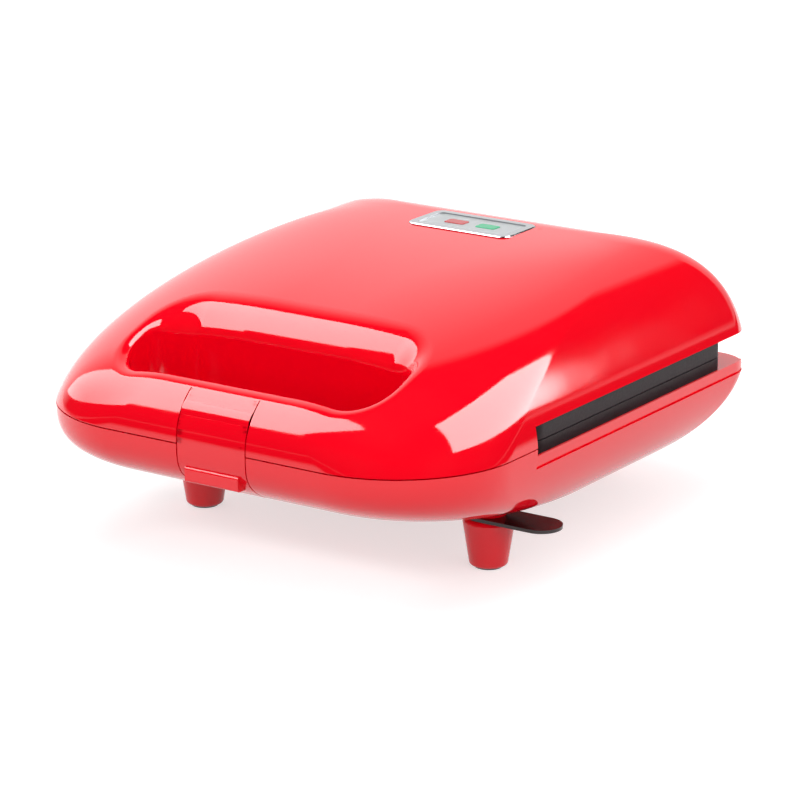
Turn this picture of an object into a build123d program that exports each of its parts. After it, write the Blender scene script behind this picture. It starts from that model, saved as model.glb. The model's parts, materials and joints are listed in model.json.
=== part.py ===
"""Sandwich maker: a hinged lid over a base, two heated plates, and a latch on the handle bar.

Frame: millimetres, +Z up, the front handle faces -Y, and the origin is on the table
below the middle of the body.
"""

import os
from math import radians, sin

from build123d import *

os.makedirs("parts", exist_ok=True)

# Body
body_width = 236.0
body_length = 283.0
parting_z = 67.0
parting_gap = 0.6
wall = 3.0
fit_gap = 0.3
front_corner = 60.0
front_corner_growth = 50.0
rear_corner = 20.0
front_round_length_share = 0.6
front_round_width_share = 0.9
rear_round_length_share = 0.3
level_angles = (0, 9, 18, 27, 36, 45, 54, 63, 72, 80, 86)

# Lid pillow: how far it rises, where its crown is, and its three side curves
lid_rise = 58.5
lid_crown_y = 83.0
lid_side_curve = (1.4, 7.2)
lid_front_curve = (2.4, 2.1)
lid_rear_curve = (2.3, 1.8)

# Base pillow
base_drop = 49.0
base_crown_y = 46.0
base_side_curve = (2.1, 6.2)
base_front_curve = (3.2, 1.0)
base_rear_curve = (2.35, 1.6)

# Gap between the halves beside and behind the plates
gap_front_y = -60.0
lid_edge_z = 77.0
shell_edge_z = 57.5
frame_lip_height = 1.0
lip_inset = 1.6
frame_reveal = 1.2
upstand_height = 2.6
upstand_width = 1.2
upstand_rear_y = 128.0

# Handle bar and the finger opening behind it
opening_half_width = 71.0
opening_front_y = -119.5
opening_rear_y = -78.0
opening_corner = 19.0
rim_round = 6.0
under_rim_round = 3.0
rim_margin = 1.0
rim_steepest = 0.8
bar_pocket_length = 40.0
bar_pocket_width = 10.0
bar_pocket_depth = 13.0
bar_pocket_x = 46.0

# Latch on the handle bar
latch_width = 37.0
latch_gap = 0.4
latch_radius = 11.0
latch_band = 2.5
latch_core_gap = 0.5
latch_z = 78.5
latch_straight_z = 62.0
latch_heel_radius = 14.2
latch_back_angle = 40.0
latch_swing_gap = 0.6
latch_relief_drop = 2.0
latch_tail_gap = 1.8
latch_cheek = 2.5
latch_pin_radius = 1.5
latch_pin_bite = 6.0
lip_width = 29.0
lip_depth = 9.0
lip_height = 7.0
lip_top_z = 57.0
lip_round = 1.2

# Hinge at the back
hinge_y = 134.2
hinge_z = 69.5
hinge_radius = 5.8
hinge_pin_radius = 2.0
hinge_x = 60.0
hinge_barrel = 15.0
hinge_ear = 6.0
hinge_gap = 0.5
hinge_notch_margin = 2.0
ear_root_depth = 14.0
arm_root_height = 15.0

# Inner frames round the plates
frame_thickness = 2.0
lid_frame_inset = 5.6
lid_frame_lift = 0.5
frame_inset = 4.2
frame_step = 2.0
lid_window = (206.0, 146.0)
base_window = (218.0, 158.0)
window_corner = 12.0

# Plates
plate_width = 224.0
plate_length = 168.0
plate_y = 30.0
plate_middle_y = 32.0
plate_corner = 6.0
plate_gap = 0.5
plate_web = 3.5
plate_rim = 3.0
cell_width = 98.0
cell_length = 126.0
cell_pitch = 106.0
pocket_depth = 9.0
pocket_margin = 4.0
pocket_slope = 4.0
pocket_round = 8.0
pocket_skin = 2.5
boss_radius = 4.0
boss_offset_y = 45.0

# Heating elements
element_radius = 3.25
element_margin_x = 7.25
element_margin_y = 14.0
element_bend = 13.0
element_end_x = 22.0
terminal_radius = 1.5
terminal_length = 10.0
seat_gap = 0.1

# Reflector trays
tray_sheet = 0.8
lid_tray_flange = 4.0
base_tray_flange = 2.0
tray_depth = 5.0

# Screws
screw_radius = 1.5
screw_head_radius = 2.8
screw_head = 1.8
screw_head_round = 0.9
screw_length = 10.0
screw_fit = 0.02
barrel_play = 0.06
screw_clearance = 0.2
post_radius = 3.5
post_x = 95.0
post_front_y = -56.0
post_rear_y = 120.0

# Indicator on the lid
indicator_y = 69.0
bezel_width = 57.0
bezel_length = 30.0
bezel_corner = 5.0
bezel_inner_corner = 2.0
bezel_edge = 0.4
bezel_border = 4.0
bezel_height = 1.4
bezel_proud = 0.4
face_thickness = 0.9
lens_width = 11.0
lens_length = 7.0
lens_corner = 1.5
lens_x = 8.8
lens_height = 4.4
lens_proud = 0.3
trim_gap = 0.1
board_width = 52.0
board_length = 22.0
board_thickness = 1.6
board_corner = 2.0
board_drop = 12.0
board_post_radius = 3.0
board_post_x = 22.0
lamp_radius = 3.0
lamp_length = 8.0
lamp_round = 1.8

# Parts in the base
thermostat_radius = 9.0
thermostat_height = 8.0
thermostat_edge = 1.0
fuse_radius = 2.2
fuse_length = 12.0
fuse_x = 30.0
fuse_y = 62.0
block_width = 30.0
block_length = 16.0
block_height = 12.0
block_x = -38.0
block_y = 92.0
block_seat_z = 38.0
block_post_radius = 5.0
block_ways = (-10.0, 0.0, 10.0)
block_way_radius = 2.0
inlet_z = 47.0
inlet_outer = 6.5
inlet_bore = 3.5
inlet_flange = 8.0
inlet_flange_depth = 2.0
inlet_front_y = 117.0
inlet_rear_y = 139.5

# Feet and the tongues above the front ones
foot_x = 80.0
foot_y = -40.0
rear_foot_x = 42.0
rear_foot_y = 112.0
foot_top_radius = 12.3
foot_bottom_radius = 8.75
foot_height = 23.5
foot_edge = 2.0
foot_lift = 0.8
foot_neck = 8.0
foot_bore_depth = 18.0
pad_radius = 6.5
pad_thickness = 2.0
pad_fit = 0.1
tongue_thickness = 1.6
tongue_width = 20.0
tongue_tip_x = 117.5
tongue_gap = 0.2
foot_screw_length = 21.0
foot_seat_z = 33.0
rear_foot_seat_z = 39.0

# Worked out from the values above
front_y = -body_length / 2
rear_y = body_length / 2
lid_bottom_z = parting_z + parting_gap / 2
base_top_z = parting_z - parting_gap / 2
lid_top_z = parting_z + lid_rise
base_low_z = parting_z - base_drop
opening_y = (opening_front_y + opening_rear_y) / 2
bar_y = (front_y + opening_front_y) / 2
latch_y = front_y + latch_radius
latch_inner = latch_radius - latch_band
latch_core = latch_inner - latch_core_gap
latch_half = latch_width / 2
latch_slot_half = latch_half + latch_gap
cheek_x = latch_half - latch_cheek
heel_y = front_y + latch_heel_radius
heel_inner = latch_heel_radius - latch_band
heel_core = heel_inner - latch_gap
lid_frame_z = lid_edge_z + lid_frame_lift
lid_frame_top = lid_frame_z + frame_thickness
base_frame_z = shell_edge_z + frame_lip_height
base_frame_top = base_frame_z + frame_thickness
upper_face_z = parting_z + plate_gap / 2
lower_face_z = parting_z - plate_gap / 2
upper_web_z = upper_face_z + plate_web
lower_web_z = lower_face_z - plate_web
ear_front_y = hinge_y - hinge_radius
ear_x = hinge_barrel / 2 + hinge_gap + hinge_ear / 2
notch_half = ear_x + hinge_ear / 2 + hinge_notch_margin
notch_front_y = ear_front_y - hinge_notch_margin
lid_ceiling_z = lid_top_z - wall
bezel_bottom_z = lid_top_z + bezel_proud - bezel_height
face_width = bezel_width - 2 * bezel_border
face_length = bezel_length - 2 * bezel_border
board_top_z = lid_ceiling_z - board_drop
lens_top_z = bezel_bottom_z + face_thickness + lens_proud
tray_bottom_z = base_frame_z - tray_depth
levels = [sin(radians(angle)) for angle in level_angles]
sides = (-1, 1)
post_places = [(side * post_x, y) for side in sides for y in (post_front_y, post_rear_y)]
boss_places = [(0, plate_y - boss_offset_y), (0, plate_y + boss_offset_y)]
board_posts = [(side * board_post_x, indicator_y) for side in sides]
front_feet = [(side * foot_x, foot_y) for side in sides]
rear_feet = [(side * rear_foot_x, rear_foot_y) for side in sides]
barrel_places = [side * hinge_x for side in sides]
ear_places = [side * hinge_x + end * ear_x for side in sides for end in sides]
far = body_length


def share_left(level, curve):
    """Share of the full reach left at a level from 0 at the parting plane to 1 at the crown."""
    bend, flatness = curve
    return (1 - level**bend) ** (1 / flatness)


def rounded_outline(z, half_width, front, rear, front_radius, rear_radius):
    """Plan outline with large front corners and small rear ones."""
    length = rear - front
    with BuildSketch(Plane.XY.offset(z)) as outline:
        with Locations((0, (front + rear) / 2)):
            Rectangle(2 * half_width, length)
        front_limit = min(front_round_length_share * length, front_round_width_share * half_width)
        front_corners = outline.vertices().group_by(Axis.Y)[0]
        fillet(front_corners, min(front_radius, front_limit))
        rear_corners = outline.vertices().group_by(Axis.Y)[-1]
        fillet(rear_corners, min(rear_radius, rear_round_length_share * length))
    return outline.sketch


def lid_section(level, inset=0.0):
    """Outline of the lid's pillow at one level, or of its inside when an inset is given."""
    side = share_left(level, lid_side_curve)
    front = share_left(level, lid_front_curve)
    rear = share_left(level, lid_rear_curve)
    return rounded_outline(
        lid_bottom_z + level * (lid_top_z - lid_bottom_z - inset),
        side * (body_width / 2 - inset),
        lid_crown_y + front * (front_y + inset - lid_crown_y),
        lid_crown_y + rear * (rear_y - inset - lid_crown_y),
        side * (front_corner + front_corner_growth * level) - inset,
        side * (rear_corner - inset),
    )


def base_section(level, inset=0.0):
    """Outline of the base's pillow at one level, or of its inside when an inset is given."""
    side = share_left(level, base_side_curve)
    front = share_left(level, base_front_curve)
    rear = share_left(level, base_rear_curve)
    return rounded_outline(
        base_top_z - level * (base_top_z - base_low_z - inset),
        side * (body_width / 2 - inset),
        base_crown_y + front * (front_y + inset - base_crown_y),
        base_crown_y + rear * (rear_y - inset - base_crown_y),
        side * (front_corner - inset),
        side * (rear_corner - inset),
    )


def plan_outline(z, inset, front, rear):
    """The body's outline at the parting plane, drawn inwards and kept between two Y values."""
    with BuildSketch(Plane.XY.offset(z)) as outline:
        add(
            rounded_outline(
                0,
                body_width / 2 - inset,
                front_y + inset,
                rear_y - inset,
                front_corner - inset,
                rear_corner - inset,
            )
        )
        with Locations((0, (front + rear) / 2)):
            Rectangle(body_width, rear - front, mode=Mode.INTERSECT)
    return outline.sketch


def opening_outline(z, margin=0.0):
    """Finger opening behind the handle bar, grown by a margin."""
    with BuildSketch(Plane.XY.offset(z)) as outline:
        with Locations((0, opening_y)):
            RectangleRounded(
                2 * (opening_half_width + margin),
                opening_rear_y - opening_front_y + 2 * margin,
                opening_corner + margin,
            )
    return outline.sketch


def opening_rim(edges):
    """Edges round the finger opening that run along it instead of up its wall."""
    half_length = (opening_rear_y - opening_front_y) / 2
    return [
        edge
        for edge in edges
        if abs(edge.center().Y - opening_y) < half_length + rim_margin
        and abs(edge.center().X) < opening_half_width + rim_margin
        and abs(edge.tangent_at().Z) < rim_steepest
    ]


def bar_outline(z):
    """The handle bar in front of the opening, which stays solid."""
    with BuildSketch(Plane.XY.offset(z)) as outline:
        with Locations((0, (front_y + opening_y) / 2)):
            Rectangle(2 * (opening_half_width + wall), opening_y - front_y)
    return outline.sketch


def bar_pockets(z):
    """Two long pockets that lighten the handle bar, one on each side of the latch."""
    with BuildSketch(Plane.XY.offset(z)) as outline:
        with Locations((-bar_pocket_x, bar_y), (bar_pocket_x, bar_y)):
            SlotOverall(bar_pocket_length, bar_pocket_width)
    return outline.sketch


def rear_band(z):
    """Everything behind the step where the open gap begins."""
    with BuildSketch(Plane.XY.offset(z)) as outline:
        with Locations((0, (gap_front_y + far) / 2)):
            Rectangle(2 * body_width, far - gap_front_y)
    return outline.sketch


def circles(z, radius, places):
    """Circles of one radius at the given places."""
    with BuildSketch(Plane.XY.offset(z)) as outline:
        with Locations(*places):
            Circle(radius)
    return outline.sketch


def rounded_panel(z, size, corner, y=plate_y):
    """Rectangle with round corners on the middle line, at a height and a Y value."""
    with BuildSketch(Plane.XY.offset(z)) as outline:
        with Locations((0, y)):
            RectangleRounded(size[0], size[1], corner)
    return outline.sketch


def grown(size, margin):
    """Width and length with a margin added on all four sides."""
    return (size[0] + 2 * margin, size[1] + 2 * margin)


def hinge_strips(z, places, width, front):
    """Rectangles at the hinge lugs, from a front line to past the rear wall."""
    with BuildSketch(Plane.XY.offset(z)) as outline:
        with Locations(*[(x, (front + far) / 2) for x in places]):
            Rectangle(width, far - front)
    return outline.sketch


def lug_profile(x, root_z):
    """Side view of a hinge lug, from its root to the round end on the hinge axis."""
    with BuildSketch(Plane.YZ.offset(x)) as profile:
        with Locations((hinge_y, (hinge_z + root_z) / 2)):
            Rectangle(2 * hinge_radius, abs(hinge_z - root_z))
        with Locations((hinge_y, hinge_z)):
            Circle(hinge_radius)
    return profile.sketch


def side_circle(x, radius, y, z):
    """Circle seen from the side, about an axis that runs along X."""
    with BuildSketch(Plane.YZ.offset(x)) as profile:
        with Locations((y, z)):
            Circle(radius)
    return profile.sketch


def latch_profile(x):
    """Band over the handle bar, down its front and round under its foot."""
    pivot = (latch_y, latch_z)
    heel = (heel_y, latch_straight_z)
    sweep_angle = 90 + latch_back_angle
    start_angle = 90 - latch_back_angle
    with BuildSketch(Plane.YZ.offset(x)) as profile:
        with BuildLine():
            over = CenterArc(pivot, latch_radius, start_angle, sweep_angle)
            down = Line(over @ 1, (front_y, latch_straight_z))
            under = CenterArc(heel, latch_heel_radius, 180, 90)
            tail = Line(under @ 1, (heel_y, latch_straight_z - heel_inner))
            CenterArc(heel, heel_inner, 270, -90)
            Line((front_y + latch_band, latch_straight_z), (front_y + latch_band, latch_z))
            back = CenterArc(pivot, latch_inner, 180, -sweep_angle)
            Line(back @ 1, over @ 0)
        make_face()
    return profile.sketch


def lip_profile(x):
    """Finger lip on the latch's foot, outside the band's inner surface."""
    with BuildSketch(Plane.YZ.offset(x)) as profile:
        with Locations((front_y, lip_top_z)):
            Rectangle(lip_depth, lip_height, align=(Align.MIN, Align.MAX))
        fillet(profile.vertices().group_by(Axis.X)[0], lip_round)
        with Locations((heel_y, latch_straight_z)):
            Circle(heel_inner, mode=Mode.SUBTRACT)
    return profile.sketch


def lid_latch_relief(x):
    """Room for the latch in the lid's bar: all round its pivot except for a round core."""
    with BuildSketch(Plane.YZ.offset(x)) as profile:
        with Locations((latch_y, latch_z)):
            Circle(latch_radius + latch_swing_gap)
        with Locations((latch_y - latch_core, latch_z - latch_relief_drop)):
            Rectangle(far, far, align=(Align.MIN, Align.MAX), mode=Mode.SUBTRACT)
        with Locations((latch_y - latch_core, latch_z)):
            Rectangle(latch_radius, latch_radius + parting_gap, align=(Align.MAX, Align.MAX))
        with Locations((latch_y, latch_z)):
            Circle(latch_core, mode=Mode.SUBTRACT)
    return profile.sketch


def base_latch_relief(x):
    """Room for the latch in the base's bar: in front of it and under its round core."""
    with BuildSketch(Plane.YZ.offset(x)) as profile:
        with Locations((heel_y + latch_tail_gap, base_top_z)):
            Rectangle(far, base_top_z - base_low_z, align=(Align.MAX, Align.MAX))
        with Locations((heel_y, latch_straight_z)):
            Circle(heel_core, mode=Mode.SUBTRACT)
        with Locations((heel_y - heel_core, latch_straight_z)):
            Rectangle(far, far, align=(Align.MIN, Align.MIN), mode=Mode.SUBTRACT)
        with Locations((heel_y, latch_straight_z - heel_core)):
            Rectangle(far, far, align=(Align.MIN, Align.MIN), mode=Mode.SUBTRACT)
    return profile.sketch


def pocket_outline(z, cell, half, shrink, corner):
    """One triangular half of a sandwich cell: cell is -1 or 1, half is -1 front or 1 rear."""
    x = cell * cell_pitch / 2
    dx = half * cell_width / 2
    dy = half * cell_length / 2
    with BuildSketch(Plane.XY.offset(z)) as outline:
        with BuildLine():
            Polyline(
                (x + dx, plate_y + dy), (x - dx, plate_y + dy), (x + dx, plate_y - dy), close=True
            )
        make_face()
        offset(amount=-shrink, kind=Kind.INTERSECTION)
        fillet(outline.vertices(), corner)
    return outline.sketch


def pocket_sections(face_z, direction, cell, half, skin=0.0):
    """Outlines of a pocket at the plate's face and at its floor, or of the dome round it."""
    floor_z = face_z + direction * (pocket_depth + skin)
    narrow = pocket_margin + pocket_slope - skin
    corner = pocket_round + skin
    return [
        pocket_outline(face_z, cell, half, pocket_margin - skin, corner),
        pocket_outline(floor_z, cell, half, narrow, corner),
    ]


def build_plate(face_z, rim_z, boss_z):
    """Cast plate: a web with a rim, four pressed pockets and two screw bosses on its back."""
    direction = 1 if rim_z > face_z else -1
    web_z = face_z + plate_web * direction
    size = (plate_width, plate_length)
    quarters = [(cell, half) for cell in sides for half in sides]
    with BuildPart() as plate:
        body = rounded_panel(face_z, size, plate_corner, plate_middle_y)
        extrude(body, amount=rim_z - face_z)
        inside = grown(size, -plate_rim)
        inner = rounded_panel(web_z, inside, plate_corner - plate_rim, plate_middle_y)
        extrude(inner, amount=rim_z - web_z, mode=Mode.SUBTRACT)
        for cell, half in quarters:
            loft(pocket_sections(face_z, direction, cell, half, pocket_skin), ruled=True)
        extrude(circles(web_z, boss_radius, boss_places), amount=boss_z - web_z)
        for cell, half in quarters:
            sections = pocket_sections(face_z, direction, cell, half)
            loft(sections, ruled=True, mode=Mode.SUBTRACT)
        bores = circles(boss_z, screw_radius + screw_fit, boss_places)
        extrude(bores, amount=-screw_length * direction, mode=Mode.SUBTRACT)
    return plate.part


def build_element(center_z):
    """Tube bent round the plate's pockets, with a terminal pin at each end."""
    half_x = plate_width / 2 - element_margin_x
    half_y = plate_length / 2 - element_margin_y
    rear = plate_y + half_y
    front = plate_y - half_y
    with BuildPart() as element:
        with BuildLine(Plane.XY.offset(center_z)):
            FilletPolyline(
                (-element_end_x, rear),
                (-half_x, rear),
                (-half_x, front),
                (half_x, front),
                (half_x, rear),
                (element_end_x, rear),
                radius=element_bend,
            )
        with BuildSketch(Plane((-element_end_x, rear, center_z), z_dir=(-1, 0, 0))):
            Circle(element_radius)
        sweep()
        for side in sides:
            with BuildSketch(Plane((side * element_end_x, rear, center_z), z_dir=(-side, 0, 0))):
                Circle(terminal_radius)
            extrude(amount=terminal_length)
    return element.part


def build_tray(seat_z, direction, window, flange):
    """Pressed reflector tray behind a plate, with its flange flat on the inner frame."""
    depth = tray_depth * direction
    sheet = tray_sheet * direction
    with BuildPart() as tray:
        extrude(rounded_panel(seat_z, grown(window, flange), window_corner + flange), amount=sheet)
        extrude(rounded_panel(seat_z, window, window_corner), amount=depth)
        inner = rounded_panel(seat_z, grown(window, -tray_sheet), window_corner - tray_sheet)
        extrude(inner, amount=depth - sheet, mode=Mode.SUBTRACT)
        holes = circles(seat_z, screw_radius + screw_clearance, boss_places)
        extrude(holes, amount=depth, mode=Mode.SUBTRACT)
    return tray.part


def build_screws(seat_z, direction, places, length=screw_length):
    """Pan head screws: each head sits on the seat and its shank runs along the direction."""
    with BuildPart() as screws:
        extrude(circles(seat_z, screw_radius, places), amount=length * direction)
        extrude(circles(seat_z, screw_head_radius, places), amount=-screw_head * direction)
        ends = screws.faces().filter_by(Axis.Z).group_by(Axis.Z)
        tops = ends[0] if direction > 0 else ends[-1]
        fillet(tops.edges(), screw_head_round)
    return screws.part


def build_foot(place):
    """Tapered foot with a recess for its pad and a blind hole for its screw."""
    x, y = place
    with BuildPart() as foot:
        with BuildSketch(Plane.XZ.offset(-y)):
            with BuildLine():
                Polyline(
                    (x, foot_lift),
                    (x + foot_bottom_radius, foot_lift),
                    (x + foot_top_radius, foot_height),
                    (x, foot_height),
                    close=True,
                )
            make_face()
        revolve(axis=Axis((x, y, 0), (0, 0, 1)))
        fillet(foot.edges().filter_by(GeomType.CIRCLE), foot_edge)
        recess = circles(foot_lift, pad_radius + pad_fit, [place])
        extrude(recess, amount=pad_thickness - foot_lift, mode=Mode.SUBTRACT)
        bore = circles(foot_height, screw_radius + screw_fit, [place])
        extrude(bore, amount=-foot_bore_depth, mode=Mode.SUBTRACT)
    return foot.part


def build_lens(side):
    """Clear block through the face and the lid's skin, with softened top edges."""
    with BuildPart() as lens:
        with BuildSketch(Plane.XY.offset(lens_top_z)):
            with Locations((side * lens_x, indicator_y)):
                RectangleRounded(lens_width, lens_length, lens_corner)
        extrude(amount=-lens_height)
        fillet(lens.faces().sort_by(Axis.Z)[-1].edges(), lens_proud)
    return lens.part


def build_lamp(side):
    """Neon lamp that stands on its board below a lens."""
    with BuildPart() as lamp:
        extrude(circles(board_top_z, lamp_radius, [(side * lens_x, indicator_y)]), amount=lamp_length)
        fillet(lamp.faces().sort_by(Axis.Z)[-1].edges(), lamp_round)
    return lamp.part


def build_tongue(side):
    """Flat tongue held between a front foot and the belly, with a hole for the foot's neck."""
    reach = tongue_tip_x - foot_x + tongue_width / 2
    middle = side * (tongue_tip_x + foot_x - tongue_width / 2) / 2
    with BuildPart() as tongue:
        with BuildSketch(Plane.XY.offset(foot_height)):
            with Locations((middle, foot_y)):
                SlotOverall(reach, tongue_width)
            with Locations((side * foot_x, foot_y)):
                Circle(foot_neck + tongue_gap, mode=Mode.SUBTRACT)
        extrude(amount=tongue_thickness)
    return tongue.part


# Insides of the two halves. Posts, bosses and lug roots are what the insides leave standing.
with BuildPart() as lid_inside:
    loft([lid_section(level, wall) for level in levels])
    extrude(opening_outline(lid_bottom_z, wall), amount=lid_rise, mode=Mode.SUBTRACT)
    extrude(bar_outline(lid_bottom_z), amount=lid_rise, mode=Mode.SUBTRACT)
    extrude(circles(lid_frame_top, post_radius, post_places), amount=lid_rise, mode=Mode.SUBTRACT)
    board_stems = circles(board_top_z, board_post_radius, board_posts)
    extrude(board_stems, amount=lid_rise, mode=Mode.SUBTRACT)
    lug_roots = hinge_strips(lid_bottom_z, barrel_places, hinge_barrel, ear_front_y)
    extrude(lug_roots, amount=lid_edge_z - lid_bottom_z + arm_root_height, mode=Mode.SUBTRACT)

with BuildPart() as base_inside:
    loft([base_section(level, wall) for level in levels])
    extrude(opening_outline(base_low_z, wall), amount=base_drop, mode=Mode.SUBTRACT)
    extrude(bar_outline(base_low_z), amount=base_drop, mode=Mode.SUBTRACT)
    posts = circles(base_low_z, post_radius, post_places)
    extrude(posts, amount=base_frame_z - base_low_z, mode=Mode.SUBTRACT)
    block_post = circles(base_low_z, block_post_radius, [(block_x, block_y)])
    extrude(block_post, amount=block_seat_z - base_low_z, mode=Mode.SUBTRACT)
    ear_roots = hinge_strips(shell_edge_z, ear_places, hinge_ear, ear_front_y)
    extrude(ear_roots, amount=-ear_root_depth, mode=Mode.SUBTRACT)

# Lid cover
with BuildPart() as lid_cover:
    loft([lid_section(level) for level in levels])
    extrude(opening_outline(lid_bottom_z), amount=lid_rise, mode=Mode.SUBTRACT)
    rim = opening_rim(lid_cover.edges())
    fillet([edge for edge in rim if edge.center().Z > lid_bottom_z + rim_round], rim_round)
    add(lid_inside.part, mode=Mode.SUBTRACT)
    extrude(rear_band(0), amount=lid_edge_z, mode=Mode.SUBTRACT)
    extrude(bar_pockets(lid_bottom_z), amount=bar_pocket_depth, mode=Mode.SUBTRACT)
    for x in barrel_places:
        extrude(lug_profile(x - hinge_barrel / 2, lid_edge_z + frame_thickness), amount=hinge_barrel)
        bore = side_circle(x - hinge_barrel / 2, hinge_pin_radius + barrel_play, hinge_y, hinge_z)
        extrude(bore, amount=hinge_barrel, mode=Mode.SUBTRACT)
    extrude(lid_latch_relief(-latch_slot_half), amount=2 * latch_slot_half, mode=Mode.SUBTRACT)
    for x in (-latch_slot_half, cheek_x - latch_gap):
        disc = side_circle(x, latch_radius + latch_gap, latch_y, latch_z)
        extrude(disc, amount=latch_cheek + 2 * latch_gap, mode=Mode.SUBTRACT)
    pin_half = latch_slot_half + latch_pin_bite
    bore = side_circle(-pin_half, latch_pin_radius + screw_fit, latch_y, latch_z)
    extrude(bore, amount=2 * pin_half, mode=Mode.SUBTRACT)
    bores = circles(lid_frame_top, screw_radius + screw_fit, post_places)
    extrude(bores, amount=screw_length, mode=Mode.SUBTRACT)
    pocket_size = grown((bezel_width, bezel_length), trim_gap)
    pocket = rounded_panel(bezel_bottom_z, pocket_size, bezel_corner + trim_gap, indicator_y)
    extrude(pocket, amount=wall, mode=Mode.SUBTRACT)
    for side in sides:
        with BuildSketch(Plane.XY.offset(bezel_bottom_z)):
            with Locations((side * lens_x, indicator_y)):
                RectangleRounded(*grown((lens_width, lens_length), trim_gap), lens_corner + trim_gap)
        extrude(amount=-2 * wall, mode=Mode.SUBTRACT)
lid_cover.part.label = "lid_cover"
export_step(lid_cover.part, "parts/lid_cover.step")

# Base shell
with BuildPart() as base_shell:
    loft([base_section(level) for level in levels])
    extrude(opening_outline(base_low_z), amount=base_drop, mode=Mode.SUBTRACT)
    rim = opening_rim(base_shell.edges())
    low_rim = [edge for edge in rim if edge.center().Z < base_top_z - under_rim_round]
    fillet(low_rim, under_rim_round)
    add(base_inside.part, mode=Mode.SUBTRACT)
    extrude(rear_band(base_frame_z), amount=far, mode=Mode.SUBTRACT)
    with BuildSketch(Plane.XY.offset(shell_edge_z)):
        add(rear_band(0))
        add(plan_outline(0, lip_inset, -far, far), mode=Mode.SUBTRACT)
    extrude(amount=far, mode=Mode.SUBTRACT)
    extrude(bar_pockets(base_top_z), amount=-bar_pocket_depth, mode=Mode.SUBTRACT)
    for x in ear_places:
        extrude(lug_profile(x - hinge_ear / 2, shell_edge_z - frame_lip_height), amount=hinge_ear)
        bore = side_circle(x - hinge_ear / 2, hinge_pin_radius + screw_fit, hinge_y, hinge_z)
        extrude(bore, amount=hinge_ear, mode=Mode.SUBTRACT)
    extrude(base_latch_relief(-latch_slot_half), amount=2 * latch_slot_half, mode=Mode.SUBTRACT)
    bores = circles(base_frame_z, screw_radius + screw_fit, post_places)
    extrude(bores, amount=-screw_length, mode=Mode.SUBTRACT)
    for places, seat_z in ((front_feet, foot_seat_z), (rear_feet, rear_foot_seat_z)):
        extrude(circles(foot_height, foot_neck, places), amount=seat_z - foot_height)
        bores = circles(foot_height, screw_radius + screw_clearance, places)
        extrude(bores, amount=seat_z - foot_height, mode=Mode.SUBTRACT)
    with BuildSketch(Plane.XZ.offset(-inlet_front_y)):
        with Locations((0, inlet_z)):
            Circle(inlet_outer + trim_gap)
    extrude(amount=inlet_front_y - rear_y, mode=Mode.SUBTRACT)
base_shell.part.label = "base_shell"
export_step(base_shell.part, "parts/base_shell.step")

# Latch and its pin
with BuildPart() as latch:
    extrude(latch_profile(-latch_half), amount=latch_width)
    extrude(lip_profile(-lip_width / 2), amount=lip_width)
    for x in (-latch_half, cheek_x):
        extrude(side_circle(x, latch_radius, latch_y, latch_z), amount=latch_cheek)
    bore = side_circle(-latch_half, latch_pin_radius + barrel_play, latch_y, latch_z)
    extrude(bore, amount=latch_width, mode=Mode.SUBTRACT)
latch.part.label = "latch"
export_step(latch.part, "parts/latch.step")

with BuildPart() as latch_pin:
    extrude(side_circle(-pin_half, latch_pin_radius, latch_y, latch_z), amount=2 * pin_half)
latch_pin.part.label = "latch_pin"
export_step(latch_pin.part, "parts/latch_pin.step")

# Hinge pins, one through each pair of ears
with BuildPart() as hinge_pin_left:
    pin_x = -hinge_x - ear_x - hinge_ear / 2
    pin_length = 2 * ear_x + hinge_ear
    extrude(side_circle(pin_x, hinge_pin_radius, hinge_y, hinge_z), amount=pin_length)
hinge_pin_left.part.label = "hinge_pin_left"
export_step(hinge_pin_left.part, "parts/hinge_pin_left.step")

with BuildPart() as hinge_pin_right:
    pin_x = hinge_x - ear_x - hinge_ear / 2
    extrude(side_circle(pin_x, hinge_pin_radius, hinge_y, hinge_z), amount=pin_length)
hinge_pin_right.part.label = "hinge_pin_right"
export_step(hinge_pin_right.part, "parts/hinge_pin_right.step")

# Inner frames that carry the plates and close the two halves
with BuildPart() as lid_inner_frame:
    wide = plan_outline(lid_frame_z, lid_frame_inset, gap_front_y - frame_step, rear_y)
    extrude(wide, amount=frame_thickness)
    step = plan_outline(lid_bottom_z, lid_frame_inset, gap_front_y - frame_step, gap_front_y)
    extrude(step, amount=lid_frame_top - lid_bottom_z)
    extrude(plan_outline(lid_bottom_z, frame_inset, front_y, gap_front_y), amount=frame_thickness)
    grip = opening_outline(lid_bottom_z, wall + fit_gap)
    extrude(grip, amount=frame_thickness, mode=Mode.SUBTRACT)
    extrude(bar_outline(lid_bottom_z), amount=frame_thickness, mode=Mode.SUBTRACT)
    window = rounded_panel(lid_frame_z, lid_window, window_corner)
    extrude(window, amount=frame_thickness, mode=Mode.SUBTRACT)
    notches = hinge_strips(lid_frame_z, barrel_places, 2 * notch_half, notch_front_y)
    extrude(notches, amount=frame_thickness, mode=Mode.SUBTRACT)
    holes = circles(lid_frame_z, screw_radius + screw_clearance, post_places)
    extrude(holes, amount=frame_thickness, mode=Mode.SUBTRACT)
lid_inner_frame.part.label = "lid_inner_frame"
export_step(lid_inner_frame.part, "parts/lid_inner_frame.step")

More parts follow.
